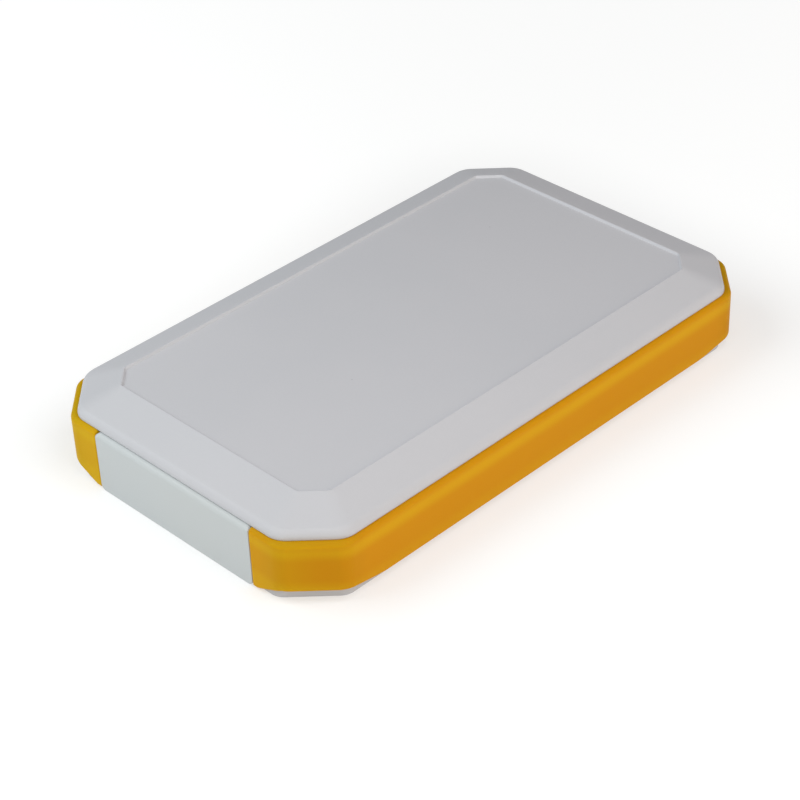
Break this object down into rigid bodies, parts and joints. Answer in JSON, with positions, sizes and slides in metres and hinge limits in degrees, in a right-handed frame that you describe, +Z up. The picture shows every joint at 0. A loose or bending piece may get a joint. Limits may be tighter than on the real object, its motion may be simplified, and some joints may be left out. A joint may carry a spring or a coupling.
{
  "type": "handheld enclosure",
  "caption": "Flat handheld electronics case with cut corners: white two-part shell, shallow label recess in the sloped cover, amber soft-touch side grips and plain end panels.",
  "frame": {"origin": "middle of the underside, on the surface that the case lies on", "axes": "+Y along the case, +X across it towards the right grip, +Z up out of the cover"},
  "size_m": [0.102, 0.1708, 0.024],
  "materials": {
    "white_plastic": "fine matte texture, cool light grey-white",
    "amber_grip": "satin soft-touch, amber",
    "screw_steel": "zinc plated",
    "insert_brass": "turned"
  },
  "bodies": {
    "root": {"top_cover": "white_plastic", "bottom_shell": "white_plastic", "left_grip": "amber_grip", "right_grip": "amber_grip", "front_panel": "white_plastic", "rear_panel": "white_plastic", "case_screws": "screw_steel", "thread_inserts": "insert_brass"}
  },
  "joints": []
}
